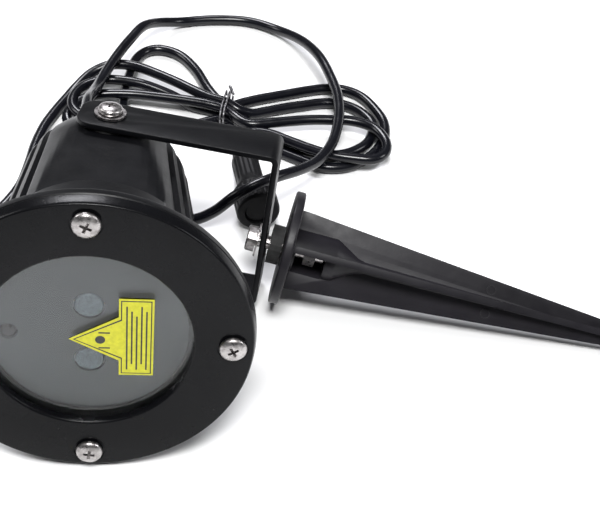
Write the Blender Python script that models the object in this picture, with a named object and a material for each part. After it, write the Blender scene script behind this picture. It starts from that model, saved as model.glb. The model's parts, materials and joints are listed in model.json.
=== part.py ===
"""Garden light projector on a ground stake, lying on its side as it comes out of the box.

The head is turned about its own axis, which runs along local Y with the front window towards -Y.
Depths are measured back from the front face of the bezel.  The head's pivot line is local Z.
All sizes are in millimetres here; the meshes are made in metres.
"""

import math

import bmesh
import bpy
from mathutils import Vector

MM = 0.001
GAP = 0.3                       # clearance between pieces that touch

# How the lamp lies: on its bezel rim, on the lower pivot screw and on the bracket's lower bend.
PIVOT = (-93.2, 29.44, 34.6)
HEAD_TURN = (-10.8, 4.5, 11.5)  # pitch, roll and yaw of the head, degrees
TILT = -10.5                    # bracket about the pivot line, degrees
DROOP = 5.5                     # stake sags on its cushion, degrees
STAKE_ROLL = -34.0              # stake about its own axis, degrees
FACE_TURN = 3.4                 # window and screws against the pivot line, degrees

# Head
PIVOT_DEPTH = 84.0
BEZEL_R = 50.0
BEZEL_T = 3.6
WINDOW_R = 31.2
GLASS_R = 34.0
GLASS_FRONT = 3.0
GLASS_T = 2.0
MASK_R = 29.6
MASK_FRONT = 6.0
MASK_T = 1.0
LAND_DEPTH = 7.3
FLANGE_FRONT = BEZEL_T + GAP
FLANGE_BACK = 6.8
SCREW_CIRCLE = 42.8
CONE_R = 37.6                   # housing radius at depth 0, if the cone ran that far
CONE_TAPER = 0.1
CONE_END = 80.0
HOUSING_END = 106.0
HOUSING_WALL = 8.0
RIB_DEPTH = 2.2
RIB_ANGLES = (-39, -26, -13, 0, 13, 26, 39)
RIB_HALF = 2.7                  # degrees
FLAT_H = 27.4                   # flats that the bracket's arms turn on
FLAT_FRONT = 37.0
CAVITY_FLAT = 23.6
APERTURE_GAP = 20.4             # between the two light apertures
MODULE_R = 4.7
BLOCK_FRONT, BLOCK_T = 20.0, 12.0
BOARD_FRONT, BOARD_T = 52.0, 1.6
BOARD_R = 18.5
GLAND_OFFSET = -11.0

# Bracket and stake
STRIP_W = 17.0
STRIP_T = 2.0
ARM_OUT = 31.0                  # outer face of an arm from the head's axis
ARM_TAIL = 10.5
BASE_OUT = 59.0                 # outer face of the base from the pivot line
BEND_R = 3.0
BOLT_LOW = 8.2                  # bolt below the middle of the base
PLATE_R = 20.4
PLATE_T = 3.4
PLATE_IN = 5.8                  # plate's near face from the base's outer face
STAKE_END = 162.0
FIN_H = 14.2
FIN_T = 2.4
POCKET = (10.6, 21.5)           # nut pocket along the stake

# Cord, from the foot of the pivot: x and y across the table, z above it
CORD_D = 4.4
LEAD_ROUTE = [
    (-18.9, 35.1, 28.2), (-20.4, 42.0, 26.9), (-21.7, 48.6, 25.5), (-23.4, 56.5, 23.8),
    (-25.3, 65.5, 21.0), (-26.6, 75.5, 16.0),
    (-27.0, 86.0, 12.6), (-26.4, 98.0, 11.8), (-24.8, 110.0, 11.8), (-22.6, 121.0, 11.8),
    (-19.8, 132.0, 11.3), (-15.4, 142.8, 6.8), (-7.2, 151.8, 2.6), (6.5, 158.0, 2.2),
    (22.5, 161.0, 2.2), (37.5, 156.5, 3.2), (49.5, 145.5, 7.6), (59.0, 131.5, 11.2),
    (66.0, 118.0, 11.6), (71.2, 104.5, 11.6), (73.6, 90.0, 11.6), (73.2, 74.0, 11.8),
    (69.2, 60.0, 13.2), (63.2, 48.0, 17.2), (56.6, 38.6, 20.8), (49.6, 31.6, 21.4),
    (42.0, 26.8, 17.8), (34.4, 24.4, 10.0), (25.6, 24.6, 3.8), (14.6, 28.8, 2.3),
    (4.0, 34.4, 2.2), (-8.0, 38.4, 2.2), (-20.0, 39.8, 2.2), (-30.0, 36.6, 2.2),
    (-35.0, 27.0, 2.2), (-34.8, 13.0, 2.2), (-33.6, -2.0, 2.2), (-35.6, -15.0, 2.2),
    (-43.0, -23.6, 2.2), (-51.6, -20.0, 2.2), (-54.4, -8.6, 2.2), (-50.4, 4.4, 2.2),
    (-45.4, 16.4, 2.2), (-43.0, 29.0, 2.2), (-43.6, 42.0, 2.2), (-44.8, 54.0, 2.2),
    (-44.8, 66.0, 2.2), (-43.4, 76.0, 2.2),
]
LEAD_POINTS = 74
HANK_H = 9.0
HANK_OUTLINE = [
    (-39.6, 73.0), (-37.0, 67.6), (-31.0, 64.5), (-23.0, 64.2), (-15.5, 68.5), (-8.0, 71.5),
    (4.0, 74.0), (14.0, 78.5), (21.5, 84.9), (29.5, 83.9), (32.4, 80.5), (31.8, 72.9),
    (38.2, 75.0), (44.0, 78.0), (51.0, 73.8), (60.0, 69.0), (70.0, 66.8), (79.0, 68.2),
    (88.0, 71.8), (95.6, 76.5), (97.6, 84.0), (96.5, 94.0), (94.5, 104.0), (89.5, 113.5),
    (82.0, 121.3), (73.0, 124.4), (61.0, 123.3), (47.0, 119.2), (34.0, 107.5), (29.5, 101.2),
    (21.5, 101.0), (16.0, 107.5), (9.0, 121.0), (-1.0, 130.0), (-11.0, 131.6), (-19.0, 128.2),
    (-22.8, 119.0), (-23.2, 112.5), (-30.0, 109.0), (-37.5, 101.5), (-42.0, 91.0), (-43.6, 79.0),
    (-40.0, 79.0),
]
TIE_AT = (25.5, 93.0)
TIE_HALF_W = 9.2
PLUG_TAIL = (35.0, 73.0, 5.8)
PLUG_TIP = (51.2, 28.8, 9.4)


# ---------------------------------------------------------------- helpers

def clear_scene():
    for item in list(bpy.data.objects):
        bpy.data.objects.remove(item, do_unlink=True)


def material(name, colour, roughness, metallic=0.0, transmission=0.0):
    found = bpy.data.materials.get(name)
    if found:
        return found
    made = bpy.data.materials.new(name)
    made.use_nodes = True
    shader = made.node_tree.nodes["Principled BSDF"]
    shader.inputs["Base Color"].default_value = (*colour, 1.0)
    shader.inputs["Roughness"].default_value = roughness
    shader.inputs["Metallic"].default_value = metallic
    shader.inputs["Transmission Weight"].default_value = transmission
    return made


def coated():
    return material("coated_metal", (0.012, 0.012, 0.013), 0.42, 0.2)


def steel():
    return material("steel", (0.62, 0.60, 0.58), 0.28, 1.0)


def alloy():
    return material("alloy", (0.55, 0.56, 0.57), 0.45, 1.0)


def brass():
    return material("brass", (0.72, 0.52, 0.22), 0.35, 1.0)


def black_plastic():
    return material("black_plastic", (0.018, 0.018, 0.020), 0.55)


def cable_rubber():
    return material("cable_rubber", (0.010, 0.010, 0.012), 0.35)


def seal_rubber():
    return material("seal_rubber", (0.008, 0.008, 0.008), 0.75)


def smoked():
    return material("smoked_plastic", (0.035, 0.040, 0.045), 0.5)


def frosted():
    return material("frosted_window", (0.16, 0.20, 0.23), 0.6)


def clear_glass():
    return material("clear_glass", (0.95, 0.97, 0.97), 0.03, 0.0, 1.0)


def yellow_film():
    return material("yellow_film", (0.85, 0.80, 0.03), 0.45)


def circuit_green():
    return material("circuit_board", (0.02, 0.14, 0.05), 0.5)


def put(mesh, name, look, parent=None, place=(0, 0, 0), turn=(0, 0, 0)):
    """Closes a bmesh into a named object; place is in millimetres and turn in degrees."""
    bmesh.ops.recalc_face_normals(mesh, faces=mesh.faces)
    data = bpy.data.meshes.new(name)
    mesh.to_mesh(data)
    mesh.free()
    data.shade_smooth()
    data.set_sharp_from_angle(angle=math.radians(32))
    data.materials.append(look)
    made = bpy.data.objects.new(name, data)
    bpy.context.collection.objects.link(made)
    made.parent = parent
    made.location = Vector(place) * MM
    made.rotation_euler = [math.radians(a) for a in turn]
    return made


def rings_mesh(rings):
    """A closed skin through rings of points; a ring of one point is a pole at either end."""
    mesh = bmesh.new()
    rows = [[mesh.verts.new(Vector(p) * MM) for p in ring] for ring in rings]
    for low, high in zip(rows, rows[1:]):
        count = max(len(low), len(high))
        for i in range(count):
            j = (i + 1) % count
            corners = [low[i % len(low)], low[j % len(low)], high[j % len(high)], high[i % len(high)]]
            corners = list(dict.fromkeys(corners))
            mesh.faces.new(corners)
    return mesh


def turned(name, profile, look, parent=None, place=(0, 0, 0), turn=(0, 0, 0), sides=40, first=0.0):
    """Turns (radius, depth) points about local Y; a profile off the axis closes on itself."""
    angles = [first + 2 * math.pi * i / sides for i in range(sides)]

    def ring(radius, depth):
        if radius == 0:
            return [(0, depth, 0)]
        return [(radius * math.cos(a), depth, radius * math.sin(a)) for a in angles]

    rings = [ring(*point) for point in profile]
    if profile[0][0] > 0:
        rings.append(rings[0])
    mesh = rings_mesh(rings)
    bmesh.ops.remove_doubles(mesh, verts=mesh.verts, dist=1e-7)
    return put(mesh, name, look, parent, place, turn)


def prism(name, outline, low, high, look, parent=None, place=(0, 0, 0), turn=(0, 0, 0)):
    """Extrudes an outline in local XY from z = low to z = high."""
    mesh = bmesh.new()
    base = [mesh.verts.new(Vector((x, y, low)) * MM) for x, y in outline]
    cap = [mesh.verts.new(Vector((x, y, high)) * MM) for x, y in outline]
    mesh.faces.new(base)
    mesh.faces.new(cap)
    for i in range(len(base)):
        j = (i + 1) % len(base)
        mesh.faces.new([base[i], base[j], cap[j], cap[i]])
    return put(mesh, name, look, parent, place, turn)


def circle(radius, sides, start=0.0, centre=(0, 0)):
    step = 2 * math.pi / sides
    return [(centre[0] + radius * math.cos(start + i * step),
             centre[1] + radius * math.sin(start + i * step)) for i in range(sides)]


def arc(centre, radius, first, last, steps):
    """Points on an arc, angles in degrees."""
    angles = [math.radians(first + (last - first) * i / steps) for i in range(steps + 1)]
    return [(centre[0] + radius * math.cos(a), centre[1] + radius * math.sin(a)) for a in angles]


def change(target, tool, operation):
    """Cuts a tool from a solid, or joins it on; the tool stays in the file as a guide."""
    tool.hide_render = True
    tool.display_type = 'WIRE'
    step = target.modifiers.new(tool.name, 'BOOLEAN')
    step.operation = operation
    step.solver = 'EXACT'
    step.object = tool


def frame_empty(name, parent, place, turn):
    made = bpy.data.objects.new(name, None)
    bpy.context.collection.objects.link(made)
    made.parent = parent
    made.location = Vector(place) * MM
    made.rotation_euler = [math.radians(a) for a in turn]
    return made


def at_depth(depth):
    return depth - PIVOT_DEPTH


def face_point(x, z):
    """A point of the window turned with the bezel, as head-local x and z."""
    turn = math.radians(FACE_TURN)
    return (x * math.cos(turn) - z * math.sin(turn), x * math.sin(turn) + z * math.cos(turn))


# ---------------------------------------------------------------- fasteners

def pan_screw(name, head_r, head_h, shank_r, length, parent, place, turn=(0, 0, 0), spin=0):
    """A cross-head screw: its head sits at y < 0, its shank runs to y = length, spin turns the cross."""
    profile = [(0, -head_h), (head_r * 0.55, -head_h * 0.96), (head_r * 0.86, -head_h * 0.66),
               (head_r, -head_h * 0.2), (head_r, 0), (shank_r, 0), (shank_r, length - 0.6),
               (shank_r - 0.5, length), (0, length)]
    screw = turned(name, profile, steel(), parent, place, turn, sides=16)
    for i in range(2):
        slot = prism(f"{name}_slot_{i}", [(-2.1, -head_h - 1), (2.1, -head_h - 1), (1.2, -head_h * 0.3),
                                          (-1.2, -head_h * 0.3)], -0.45, 0.45, steel(), screw,
                     turn=(0, spin + 90 * i, 0))
        change(screw, slot, 'DIFFERENCE')
    return screw


def washer(name, inner, outer, low, high, look, parent, place=(0, 0, 0), turn=(0, 0, 0)):
    profile = [(inner, low), (outer, low), (outer, high), (inner, high)]
    return turned(name, profile, look, parent, place, turn, sides=24)


# ---------------------------------------------------------------- head

def cone_radius(depth):
    return CONE_R - CONE_TAPER * depth


def housing_angles():
    """(angle, in a groove) round the housing: ribs on both sides, smooth pads on the pivot line."""
    found = []
    for side in (0, 180):
        for i, rib in enumerate(RIB_ANGLES):
            found += [(side + rib - RIB_HALF, False), (side + rib + RIB_HALF, False)]
            if i < len(RIB_ANGLES) - 1:
                gap_low = side + rib + RIB_HALF + 0.8
                gap_high = side + RIB_ANGLES[i + 1] - RIB_HALF - 0.8
                found += [(gap_low, True), (gap_high, True)]
        pad_low = side + RIB_ANGLES[-1] + RIB_HALF
        found += [(pad_low + 0.8, True), (pad_low + 5.0, True)]
        found += [(side + 90 + a, False) for a in range(-42, 43, 12)]
        found += [(side + 180 - RIB_ANGLES[-1] - RIB_HALF - 5.0, True),
                  (side + 180 - RIB_ANGLES[-1] - RIB_HALF - 0.8, True)]
    return sorted(set(found))


def rear_housing(head):
    angles = housing_angles()
    # the rounded rear shoulder, as (radius, depth)
    shoulder = [(29.0, 86), (27.7, 91), (26.0, 95), (23.9, 99), (21.6, 102.5), (18.6, HOUSING_END)]

    def ring(radius, depth, ribbed=False, flat=None):
        points = []
        for angle, groove in angles:
            a = math.radians(angle)
            r = radius - (RIB_DEPTH if ribbed and groove else 0)
            if flat:
                r = min(r, flat / max(abs(math.sin(a)), 1e-6))
            points.append((r * math.cos(a), at_depth(depth), r * math.sin(a)))
        return points

    rings = [[(0, at_depth(HOUSING_END), 0)]]
    rings += [ring(radius, depth, depth < 100, FLAT_H) for radius, depth in reversed(shoulder)]
    for depth in (CONE_END, FLAT_FRONT + 0.3):
        rings.append(ring(cone_radius(depth), depth, True, FLAT_H))
    rings += [ring(cone_radius(depth), depth, True) for depth in (FLAT_FRONT, 9.5)]
    rings += [ring(cone_radius(8.5), 8.5), ring(cone_radius(FLANGE_BACK), FLANGE_BACK)]
    rings += [ring(BEZEL_R - 0.4, FLANGE_BACK), ring(BEZEL_R, FLANGE_BACK - 0.4)]
    rings.append(ring(BEZEL_R, FLANGE_FRONT))
    rings += [ring(GLASS_R + 0.4, FLANGE_FRONT), ring(GLASS_R + 0.4, LAND_DEPTH), ring(27.5, LAND_DEPTH)]
    rings += [ring(27.5, 9.5), ring(31.5, 12.0), ring(29.6, 38.0, flat=CAVITY_FLAT)]
    rings += [ring(25.2, CONE_END, flat=CAVITY_FLAT), ring(22.2, 92), ring(20.4, HOUSING_END - HOUSING_WALL)]
    rings.append([(0, at_depth(HOUSING_END - HOUSING_WALL), 0)])
    housing = put(rings_mesh(rings), "rear_housing", coated(), head)

    inside, outside = HOUSING_END - 12, HOUSING_END + 4
    entry = turned("cord_entry", [(0, inside), (5.3, inside), (5.3, outside), (0, outside)], coated(), head,
                   (GLAND_OFFSET, -PIVOT_DEPTH, 0), sides=24)
    change(housing, entry, 'DIFFERENCE')
    for side in (1, -1):
        boss = turned(f"pivot_boss_{side}", [(0, 18.5), (5.6, 18.5), (6.2, FLAT_H - 1.5), (0, FLAT_H - 1.5)],
                      coated(), head, turn=(90 * side, 0, 0), sides=20, first=0.19)
        change(housing, boss, 'UNION')
        bore = turned(f"pivot_bore_{side}", [(0, 16.5), (2.5, 16.5), (2.5, FLAT_H + 5), (0, FLAT_H + 5)],
                      coated(), head, turn=(90 * side, 0, 0), sides=20, first=0.08)
        change(housing, bore, 'DIFFERENCE')
    for x, z in screw_places():
        hole = turned("flange_hole", [(0, 3), (2.0, 3), (2.0, 9), (0, 9)], coated(), head,
                      (x, -PIVOT_DEPTH, z), sides=16)
        change(housing, hole, 'DIFFERENCE')
    return housing


def screw_places():
    corners = [(0, SCREW_CIRCLE), (SCREW_CIRCLE, 0), (0, -SCREW_CIRCLE), (-SCREW_CIRCLE, 0)]
    return [face_point(x, z) for x, z in corners]


def bezel(head):
    profile = [(WINDOW_R, 0.5), (WINDOW_R + 0.5, 0), (BEZEL_R - 0.7, 0), (BEZEL_R, 0.7), (BEZEL_R, BEZEL_T),
               (GLASS_R + 0.4, BEZEL_T), (GLASS_R + 0.4, GLASS_FRONT - GAP), (WINDOW_R, GLASS_FRONT - GAP)]
    ring = turned("front_bezel", profile, coated(), head, (0, -PIVOT_DEPTH, 0), sides=60)
    for i, (x, z) in enumerate(screw_places()):
        hole = turned(f"bezel_hole_{i}", [(0, -2), (2.2, -2), (2.2, 6), (0, 6)], coated(), head,
                      (x, -PIVOT_DEPTH, z), sides=16)
        change(ring, hole, 'DIFFERENCE')
        pan_screw(f"bezel_screw_{i + 1}", 4.2, 2.3, 1.7, 6.6, head, (x, -PIVOT_DEPTH - GAP, z),
                  spin=20 + 37 * i)


def window_stack(head):
    glass_back = GLASS_FRONT + GLASS_T
    turned("front_glass", [(0, GLASS_FRONT), (GLASS_R - 0.4, GLASS_FRONT), (GLASS_R, GLASS_FRONT + 0.4),
                           (GLASS_R, glass_back), (0, glass_back)], clear_glass(), head,
           (0, -PIVOT_DEPTH, 0), sides=64)
    washer("window_gasket", MASK_R + 0.4, GLASS_R, glass_back + GAP, LAND_DEPTH - GAP, seal_rubber(), head,
           (0, -PIVOT_DEPTH, 0))
    mask_back = MASK_FRONT + MASK_T
    mask = turned("aperture_mask", [(0, MASK_FRONT), (MASK_R, MASK_FRONT), (MASK_R, mask_back),
                                    (0, mask_back)], smoked(), head, (0, -PIVOT_DEPTH, 0), sides=40)
    openings = [(*face_point(0, APERTURE_GAP / 2), 4.7), (*face_point(0, -APERTURE_GAP / 2), 4.7),
                (*face_point(-23.8, 0), 2.9)]
    for i, (x, z, radius) in enumerate(openings):
        hole = turned(f"mask_hole_{i}", [(0, 4), (radius, 4), (radius, 9), (0, 9)], smoked(), head,
                      (x, -PIVOT_DEPTH, z), sides=20)
        change(mask, hole, 'DIFFERENCE')
    for i, (x, z, _) in enumerate(openings[:2]):
        turned(f"grating_window_{i + 1}", [(0, 6.2), (4.0, 6.2), (4.3, 6.5), (4.3, 8.2), (0, 8.2)],
               frosted(), head, (x, -PIVOT_DEPTH, z), sides=28)
    x, z, _ = openings[2]
    turned("remote_receiver", [(0, 5.4), (1.3, 5.7), (2.2, 6.5), (2.5, 7.6), (2.5, 12.5), (0, 12.5)],
           black_plastic(), head, (x, -PIVOT_DEPTH, z), sides=20)


def label(head):
    """A plain sticker on the glass: a rectangle with a triangle joined to its left side."""
    corners = [(8.9, 15.0), (19.2, 15.0), (19.2, -13.8), (8.9, -13.8), (8.9, -8.0), (-5.8, -0.3), (8.9, 8.0)]
    outline = [face_point(x, z) for x, z in corners]
    prism("plain_label", outline, 0, 0.25, yellow_film(), head,
          (0, at_depth(GLASS_FRONT - GAP), 0), (90, 0, 0))


def light_engine(head):
    """Two laser modules in an aluminium block, with the driver board behind it."""
    block_back = BLOCK_FRONT + BLOCK_T
    block = turned("module_block", [(0, BLOCK_FRONT), (23.5, BLOCK_FRONT), (24, BLOCK_FRONT + 0.5),
                                    (24, block_back), (0, block_back)], alloy(), head,
                   (0, -PIVOT_DEPTH, 0), sides=36)
    for i, side in enumerate((1, -1)):
        x, z = face_point(0, side * APERTURE_GAP / 2)
        turned(f"laser_module_{i + 1}",
               [(0, 9.5), (2.0, 9.5), (2.0, 8.6), (3.6, 8.6), (MODULE_R, 9.6), (MODULE_R, 41), (3.2, 41),
                (3.2, 43), (0, 43)], brass(), head, (x, -PIVOT_DEPTH, z), sides=20)
        hole = turned(f"module_hole_{i}", [(0, 15), (MODULE_R + GAP, 15), (MODULE_R + GAP, 40), (0, 40)],
                      alloy(), head, (x, -PIVOT_DEPTH, z), sides=20)
        change(block, hole, 'DIFFERENCE')
    posts = [(14 * math.cos(math.radians(a)), 14 * math.sin(math.radians(a))) for a in (0, 125, 235)]
    for i, (x, z) in enumerate(posts):
        washer(f"board_post_{i + 1}", 1.5, 2.6, block_back + GAP, BOARD_FRONT - GAP, alloy(), head,
               (x, -PIVOT_DEPTH, z))
    board_back = BOARD_FRONT + BOARD_T
    board = turned("driver_board", [(0, BOARD_FRONT), (BOARD_R, BOARD_FRONT), (BOARD_R, board_back),
                                    (0, board_back)], circuit_green(), head, (0, -PIVOT_DEPTH, 0), sides=48)
    back = at_depth(board_back) - 0.2
    parts = [(-3, 1, 7, 6, 2.2), (7, 7, 5, 5, 4.0), (-9, -7, 5, 7, 3.2), (6, -8, 8, 5, 6.0)]
    for i, (x, z, wide, deep, tall) in enumerate(parts):
        chip = prism(f"board_part_{i}", [(x - wide / 2, z - deep / 2), (x + wide / 2, z - deep / 2),
                                         (x + wide / 2, z + deep / 2), (x - wide / 2, z + deep / 2)],
                     0, tall, circuit_green(), head, (0, back, 0), (-90, 0, 0))
        change(board, chip, 'UNION')


def cord_gland(head):
    """Depths inside the gland are measured back from the end of the housing."""
    place = (GLAND_OFFSET, at_depth(HOUSING_END), 0)
    tube_r = CORD_D / 2 + GAP
    body = turned("gland_body", [(tube_r, -HOUSING_WALL - 5), (5.0, -HOUSING_WALL - 5), (5.0, GAP),
                                 (7.2, GAP), (7.2, 4), (5.6, 4), (5.6, 8.5), (tube_r, 8.5)],
                  black_plastic(), head, place, sides=18)
    change(body, prism("gland_hex", circle(7.9, 6), 0.1, 3.6, black_plastic(), head,
                       (GLAND_OFFSET, at_depth(HOUSING_END + 4), 0), (90, 0, 0)), 'UNION')
    change(body, turned("gland_bore", [(0, -20), (tube_r, -20), (tube_r, 20), (0, 20)], black_plastic(),
                        head, place, sides=18), 'DIFFERENCE')
    turned("gland_nut", [(6.0, 4.6), (7.6, 4.6), (7.6, 11.5), (6.2, 14.5), (4.6, 16.0), (tube_r, 16.0),
                         (tube_r, 12.6), (6.0, 11.6)], black_plastic(), head, place, sides=24)
    washer("gland_lock_nut", 5.3, 8.0, -HOUSING_WALL - 4, -HOUSING_WALL - GAP, black_plastic(), head, place)
    turned("gland_seal", [(tube_r, 8.8), (4.6, 8.8), (5.4, 11.0), (tube_r, 12.2)], seal_rubber(), head,
           place, sides=24)


def pivot_hardware(head):
    """On each side: a screw, a flat washer outside the arm and a friction washer inside it."""
    for name, side in (("upper", 1), ("lower", -1)):
        turn = (90 * side, 0, 0)
        washer(f"{name}_friction_washer", 2.9, 7.8, FLAT_H + GAP, ARM_OUT - STRIP_T - GAP, seal_rubber(),
               head, turn=turn)
        washer(f"{name}_flat_washer", 2.9, 5.4, ARM_OUT + GAP, ARM_OUT + 1.1, steel(), head, turn=turn)
        pan_screw(f"{name}_pivot_screw", 4.2, 2.4, 2.2, 15.0, head,
                  (0, 0, side * (ARM_OUT + 1.1 + GAP)), (-90 * side, 0, 0), spin=20)


# ---------------------------------------------------------------- bracket and stake

def u_bracket(frame):
    """A flat strip bent to a U, as an outline in the XZ plane given its width along Y."""
    inner = ARM_OUT - STRIP_T
    corner_x = BASE_OUT - BEND_R
    outer_path = [(-ARM_TAIL, ARM_OUT)] + arc((corner_x, ARM_OUT - BEND_R), BEND_R, 90, 0, 5)
    outer_path += arc((corner_x, BEND_R - ARM_OUT), BEND_R, 0, -90, 5) + [(-ARM_TAIL, -ARM_OUT)]
    small = BEND_R - STRIP_T
    inner_path = [(-ARM_TAIL, -inner)] + arc((corner_x, BEND_R - ARM_OUT), small, -90, 0, 4)
    inner_path += arc((corner_x, ARM_OUT - BEND_R), small, 0, 90, 4) + [(-ARM_TAIL, inner)]
    outline = outer_path + inner_path
    strip = prism("u_bracket", outline, -STRIP_W / 2, STRIP_W / 2, coated(), frame, turn=(90, 0, 0))
    keep = [(BASE_OUT + 5, -STRIP_W / 2 - 1), (BASE_OUT + 5, STRIP_W / 2 + 1)]
    keep += [(-2.0, STRIP_W / 2 + 1)] + arc((-5.0, STRIP_W / 2 - 5.5), 5.5, 90, 180, 5)
    keep += arc((-5.0, 5.5 - STRIP_W / 2), 5.5, 180, 270, 5) + [(-2.0, -STRIP_W / 2 - 1)]
    change(strip, prism("arm_ends", keep, -ARM_OUT - 5, ARM_OUT + 5, coated(), frame), 'INTERSECT')
    change(strip, prism("pivot_hole", circle(2.6, 20), -ARM_OUT - 9, ARM_OUT + 9, coated(), frame),
           'DIFFERENCE')
    hole = prism("bolt_hole", circle(3.3, 20), -8, 8, coated(), frame, (BASE_OUT, 0, -BOLT_LOW), (0, 90, 0))
    change(strip, hole, 'DIFFERENCE')
    return strip


def swivel_hardware(stake):
    """The bolt and its nut turn with the stake; the cushion stays on the bracket."""
    along = (0, 0, -90)
    washer("swivel_cushion", 3.3, 7.0, GAP + 0.8, PLATE_IN - GAP, seal_rubber(), stake, turn=along)
    head_in = -STRIP_T - 1.7
    washer("bolt_washer", 2.8, 6.0, head_in, head_in + 0.6, steel(), stake, turn=along)
    bolt = turned("swivel_bolt", [(0, head_in - 3.6), (4.2, head_in - 3.6), (4.6, head_in - 3.2),
                                  (4.6, head_in - GAP), (2.4, head_in - GAP), (2.4, 21.0), (0, 21.0)],
                  steel(), stake, turn=along, sides=24)
    socket = prism("bolt_socket", circle(2.3, 6), -2, 2, steel(), bolt, (0, head_in - 3.6, 0), (90, 0, 0))
    change(bolt, socket, 'DIFFERENCE')
    nut = prism("stake_nut", circle(4.5, 6, math.radians(30)), 14.0, 18.0, steel(), stake,
                turn=(0, 90, 0))
    change(nut, prism("nut_thread", circle(2.7, 20), 5, 20, steel(), stake, turn=(0, 90, 0)), 'DIFFERENCE')


def ground_stake(stake):
    """Four fins that taper to a point behind a round plate; the nut drops in from one side."""
    plate_back = PLATE_IN + PLATE_T
    body = turned("ground_stake", [(0, PLATE_IN), (PLATE_R - 0.8, PLATE_IN), (PLATE_R, PLATE_IN + 0.8),
                                   (PLATE_R, plate_back - 0.8), (PLATE_R - 0.8, plate_back),
                                   (0, plate_back)],
                  black_plastic(), stake, turn=(0, 0, -90), sides=48)
    spine = turned("stake_spine", [(0, PLATE_IN + 1), (7.6, PLATE_IN + 1), (7.6, 25), (2.6, 34),
                                   (1.4, STAKE_END - 8), (0.5, STAKE_END), (0, STAKE_END)],
                   black_plastic(), stake, turn=(0, 0, -90), sides=20)
    change(body, spine, 'UNION')
    for i in range(2):
        upper = [(PLATE_IN + 1, FIN_H), (plate_back + 2, FIN_H), (STAKE_END - 2, 1.5)]
        outline = upper + [(x, -y) for x, y in reversed(upper)]
        blade = prism(f"stake_blade_{i}", outline, -FIN_T / 2, FIN_T / 2, black_plastic(), stake,
                      turn=(STAKE_ROLL + 90 * i, 0, 0))
        change(body, blade, 'UNION')
    low, high = POCKET
    pocket = prism("nut_pocket", [(low, -4.8), (high, -4.8), (high, 4.8), (low, 4.8)], -4.9, 20,
                   black_plastic(), stake, turn=(STAKE_ROLL + 135, 0, 0))
    change(body, pocket, 'DIFFERENCE')
    bore = turned("bolt_bore", [(0, 1), (2.8, 1), (2.8, 24), (0, 24)], black_plastic(), stake,
                  turn=(0, 0, -90), sides=20)
    change(body, bore, 'DIFFERENCE')
    return body


# ---------------------------------------------------------------- cord

def on_table(point):
    return Vector((PIVOT[0] + point[0], PIVOT[1] + point[1], point[2]))


def smooth_route(points, count):
    """Evenly spaced points on a Catmull-Rom curve through the route's own points."""
    knots = [Vector(p) for p in points]
    padded = [knots[0] * 2 - knots[1], *knots, knots[-1] * 2 - knots[-2]]
    fine = []
    for a, b, c, d in zip(padded, padded[1:], padded[2:], padded[3:]):
        for i in range(12):
            t = i / 12
            fine.append(0.5 * (2 * b + (c - a) * t + (2 * a - 5 * b + 4 * c - d) * t * t
                               + (3 * b - a - 3 * c + d) * t ** 3))
    fine.append(knots[-1])
    reach = [0.0]
    for a, b in zip(fine, fine[1:]):
        reach.append(reach[-1] + (b - a).length)
    spaced = []
    for i in range(count):
        want = reach[-1] * i / (count - 1)
        k = next(j for j in range(1, len(reach)) if reach[j] >= want - 1e-9)
        share = (want - reach[k - 1]) / (reach[k] - reach[k - 1])
        spaced.append(fine[k - 1].lerp(fine[k], share))
    return spaced


def cord_lead():
    curve = bpy.data.curves.new("cord_lead", 'CURVE')
    curve.dimensions = '3D'
    curve.bevel_depth = CORD_D / 2 * MM
    curve.bevel_resolution = 2
    curve.use_fill_caps = True
    points = smooth_route([on_table(p) for p in LEAD_ROUTE], LEAD_POINTS)
    spline = curve.splines.new('POLY')
    spline.points.add(len(points) - 1)
    for knot, point in zip(spline.points, points):
        knot.co = (*(point * MM), 1)
    curve.materials.append(cable_rubber())
    lead = bpy.data.objects.new("cord_lead", curve)
    bpy.context.collection.objects.link(lead)


def cord_hank():
    outline = [on_table((x, y, 0))[:2] for x, y in HANK_OUTLINE]
    prism("cord_hank", outline, 0, HANK_H, cable_rubber())


def cord_tie():
    """A wire tie round the waist of the hank."""
    x, y, _ = on_table((*TIE_AT, 0))
    half_w, wire = TIE_HALF_W, 1.1
    top = HANK_H + GAP
    outer = [(-half_w - wire, top - 0.6), (-half_w, top + wire), (half_w, top + wire),
             (half_w + wire, top - 0.6), (half_w + wire, 0), (-half_w - wire, 0)]
    tie = prism("cord_tie", outer, -1.4, 1.4, steel(), None, (x, y, 0), (90, 0, 90))
    inside = prism("tie_inside", [(-half_w, -1), (half_w, -1), (half_w, top), (-half_w, top)], -3, 3,
                   steel(), None, (x, y, 0), (90, 0, 90))
    change(tie, inside, 'DIFFERENCE')


def plug():
    """A waterproof connector: tapered boot, barrel, coupling ring and the insert inside it."""
    tail, tip = on_table(PLUG_TAIL), on_table(PLUG_TIP)
    along = (tip - tail).normalized()
    frame = frame_empty("plug_frame", None, tail, (0, 0, 0))
    frame.rotation_mode = 'QUATERNION'
    frame.rotation_quaternion = Vector((0, 1, 0)).rotation_difference(along)
    length = (tip - tail).length
    turned("plug_boot", [(0, 0), (2.7, 0), (3.3, 6), (4.2, 10), (4.4, 13), (0, 13)], cable_rubber(), frame,
           sides=24)
    turned("plug_barrel", [(0, 13.3), (4.8, 13.3), (5.4, 16), (5.4, length - 16), (6.4, length - 15),
                           (6.4, length - 12.4), (5.0, length - 12), (5.0, length - 1.2), (0, length - 1.2)],
           black_plastic(), frame, sides=28)
    turned("plug_ring", [(6.7, length - 12), (7.9, length - 12), (8.4, length - 11), (8.4, length - 1),
                         (7.9, length), (5.4, length), (5.4, length - 11.7), (6.7, length - 11.7)],
           black_plastic(), frame, sides=28)


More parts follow.
